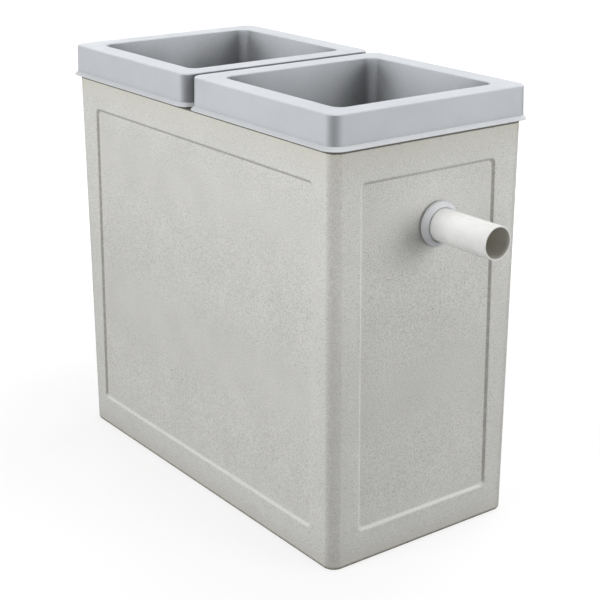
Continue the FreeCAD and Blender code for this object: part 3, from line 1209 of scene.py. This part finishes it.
@dataclass
class PipeLine:
    """One end's pipe stub, the collar round it, and the tee and dip pipe inside."""

    palette: Palette
    end: End
    turns: int = 112
    smooth_angle: float = 50.0
    pipe_wall: float = 0.0025
    pipe_round: float = 0.0006
    slip: float = 0.0003
    collar_face: float = 0.0050
    collar_round: float = 0.0011
    neck_wall: float = 0.0032
    neck_chamfer: float = 0.0012

    def __post_init__(self) -> None:
        """Reads the pipe's box from the frame."""
        low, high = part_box(f"{self.end.label}_pipe")
        self.radius = (high.y - low.y) / 2
        self.axis = Vector((0.0, (low.y + high.y) / 2, (low.z + high.z) / 2))
        self.inner_x, self.outer_x = sorted((low.x, high.x), key=abs)

    def turned(
        self,
        name: str,
        section: Sequence[Triple],
        material: bpy.types.Material,
        marked_within: float = 0.0,
    ) -> bpy.types.Object:
        """Turns a closed section about the pipe's axis.

        Args:
            name: The piece's name.
            section: The radius, the distance along X and the softness of each corner.
            material: The piece's finish.
            marked_within: Rings of a smaller radius than this get the mark of the bore.

        Returns:
            The piece.
        """
        maker = MeshMaker(BORE_MARK)
        angles = [2 * math.pi * turn / self.turns for turn in range(self.turns)]
        corners = [Station(radius, radius, 0.0, x, soft) for radius, x, soft in section]
        loops = []
        for ring in softened(corners, True):
            reach = ring.half_u
            circle = [(ring.level, reach * math.cos(a), reach * math.sin(a)) for a in angles]
            loops.append(maker.loop(circle, Matrix.Translation(self.axis)))
            maker.paint(loops[-1], float(reach < marked_within))
        for index, loop in enumerate(loops):
            maker.band(loop, loops[(index + 1) % len(loops)])
        return maker.finish(name, material, self.smooth_angle)

    def build_pipe(self) -> bpy.types.Object:
        """The stub, with its cut ends slightly broken."""
        bore = self.radius - self.pipe_wall
        ends = (self.inner_x, self.outer_x)
        section = [(self.radius, x, self.pipe_round) for x in ends]
        section += [(bore, x, self.pipe_round) for x in reversed(ends)]
        # Rings inside the bore get the mark where the finish paints shade
        marked_within = bore + self.pipe_round / 8
        return self.turned(f"{self.end.label}_stub", section, self.palette.pipe, marked_within)

    def build_collar(self) -> bpy.types.Object:
        """The collar, from its flat back to the neck that closes on the pipe."""
        low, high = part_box(f"{self.end.label}_collar")
        back, front = sorted((low.x, high.x), key=abs)
        rim = (high.y - low.y) / 2
        side = self.end.value
        bore = self.radius + self.slip
        neck = bore + self.neck_wall
        section = (
            (bore, back, 0.0),
            (rim, back, 0.0),
            (rim, back + side * self.collar_face, self.collar_round),
            (neck, front, self.collar_round),
            (bore + self.neck_chamfer, front, self.collar_round / 2),
            (bore, front - side * self.neck_chamfer, 0.0),
        )
        return self.turned(f"{self.end.label}_wall_collar", section, self.palette.collar)

    def build(self) -> None:
        """Builds the pieces that show and dresses the others."""
        label = self.end.label
        settle(self.build_pipe(), Slot.PIPE, f"{label}_pipe")
        settle(self.build_collar(), Slot.COLLAR, f"{label}_collar")
        dress(f"{label}_tee", self.palette.upright_pipe)
        dress(f"{label}_dip_pipe", self.palette.upright_pipe)


# Studio


def seen_directly(graph: Graph) -> Socket:
    """1 for what the camera sees, also reflected or through glass, and 0 for falling light."""
    ray = graph.add("ShaderNodeLightPath").outputs
    shown = graph.maths("MAXIMUM", ray["Is Camera Ray"], ray["Is Glossy Ray"])
    return graph.maths("MAXIMUM", shown, ray["Is Transmission Ray"])


@dataclass
class SoftLamp:
    """A square soft light that looks at the middle of the trap.

    Level is the share of a white surface's own colour that the lamp alone gives, facing it.
    """

    name: str
    azimuth: float
    elevation: float
    level: float
    distance: float = 4.2
    side: float = 2.0
    aim: Vector = field(default_factory=lambda: Vector((0.0, 0.0, 0.38)))

    def build(self) -> None:
        """Places the lamp. Azimuth 0 is the -Y side and 90 the +X side."""
        turn, rise = math.radians(self.azimuth), math.radians(self.elevation)
        level_way = Vector((math.sin(turn), -math.cos(turn), 0.0))
        away = level_way * math.cos(rise) + Vector((0.0, 0.0, math.sin(rise)))
        data = bpy.data.lights.new(self.name, "AREA")
        data.shape = "SQUARE"
        data.size = self.side
        data.energy = self.level * math.pi**2 * self.distance**2
        lamp = placed(self.name, data)
        lamp.location = self.aim + away * self.distance
        lamp.rotation_euler = away.to_track_quat("Z", "Y").to_euler()


@dataclass
class Studio:
    """Plain pale floor, white surroundings and soft lamps."""

    floor_half: float = 14.0
    floor_colour: Colour = (0.20, 0.20, 0.20)
    floor_glow: float = 0.80
    far_glow: float = 1.0
    near_end: float = 0.55
    far_start: float = 1.6
    world_level: float = 0.166

    def lamps(self) -> list[SoftLamp]:
        """One lamp towards each side of the trap and one high above it."""
        return [
            SoftLamp("lamp_long_side", 3.0, 18.0, 0.60),
            SoftLamp("lamp_outlet_end", 114.0, 11.0, 0.44),
            SoftLamp("lamp_back", 194.0, 22.0, 0.32),
            SoftLamp("lamp_inlet_end", -104.0, 22.0, 0.21),
            SoftLamp("lamp_above", 150.0, 80.0, 0.50),
        ]

    def build_floor(self) -> None:
        """A level floor that looks white to the camera and keeps the trap's shadow."""
        maker = MeshMaker()
        signs = ((-1, -1), (1, -1), (1, 1), (-1, 1))
        corners = [(self.floor_half * x, self.floor_half * y, 0.0) for x, y in signs]
        maker.sheet(maker.loop(corners, Matrix()))
        material = bpy.data.materials.new("pale_floor")
        graph = fresh_graph(material)
        dull = graph.add("ShaderNodeBsdfDiffuse", {"Color": (*self.floor_colour, 1.0)})
        shown = seen_directly(graph)
        place = graph.add("ShaderNodeTexCoord").outputs["Object"]
        away = graph.add("ShaderNodeVectorMath", {0: place}, operation="LENGTH").outputs["Value"]
        level = graph.span(away, self.near_end, self.far_start, self.floor_glow, self.far_glow)
        glow = graph.add("ShaderNodeEmission", {"Strength": graph.times(shown, level)})
        both = graph.add("ShaderNodeAddShader", {0: dull.outputs[0], 1: glow.outputs[0]})
        graph.add("ShaderNodeOutputMaterial", {"Surface": both.outputs[0]})
        maker.finish("floor", material)

    def build_world(self) -> None:
        """Even soft light all round, which the camera and reflections see as white."""
        world = bpy.data.worlds.new("white_room")
        bpy.context.scene.world = world
        graph = fresh_graph(world)
        wired = {0: seen_directly(graph), 2: self.world_level, 3: 1.0}
        strength = graph.add("ShaderNodeMix", wired, data_type="FLOAT").outputs[0]
        wired = {"Color": (1.0, 1.0, 1.0, 1.0), "Strength": strength}
        sky = graph.add("ShaderNodeBackground", wired)
        graph.add("ShaderNodeOutputWorld", {"Surface": sky.outputs[0]})

    def build(self) -> None:
        """Builds the floor, the surroundings and the lamps."""
        self.build_floor()
        self.build_world()
        for lamp in self.lamps():
            lamp.build()
        bpy.context.scene.view_settings.view_transform = "Standard"


@dataclass
class PhotoCamera:
    """Camera near the photograph's viewing angle.

    The photograph's uprights are parallel, which takes a large shift of the lens. Other views
    keep the shift and would cut the trap off, so this is a compromise with a small one.
    """

    place: Vector = field(default_factory=lambda: Vector((2.0660, -1.5004, 1.2240)))
    azimuth: float = 53.39
    pitch: float = 16.59
    focal_pixels: float = 1450.0
    frame_pixels: float = 600.0
    shift: float = -0.12
    sight: float = 60.0

    def build(self) -> None:
        """Places the camera and makes it the scene's."""
        data = bpy.data.cameras.new("photo_camera")
        data.sensor_fit = "HORIZONTAL"
        data.lens = data.sensor_width * self.focal_pixels / self.frame_pixels
        data.shift_y = self.shift
        data.clip_end = self.sight
        camera = placed("photo_camera", data)
        camera.location = self.place
        tilt, turn = math.radians(90.0 - self.pitch), math.radians(self.azimuth)
        camera.rotation_euler = (tilt, 0.0, turn)
        bpy.context.scene.camera = camera


def main() -> None:
    """Builds the trap piece by piece, then the studio and the camera."""
    logging.basicConfig(level=logging.INFO, format="%(name)s: %(message)s")
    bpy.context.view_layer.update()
    palette = Palette()
    CastTank(palette).build()
    ribs, bead = RibTree(), BeadTree(palette)
    for end in End:
        Riser(palette, end).build(ribs, bead)
        PipeLine(palette, end).build()
    Studio().build()
    PhotoCamera().build()


if __name__ == "__main__":
    main()
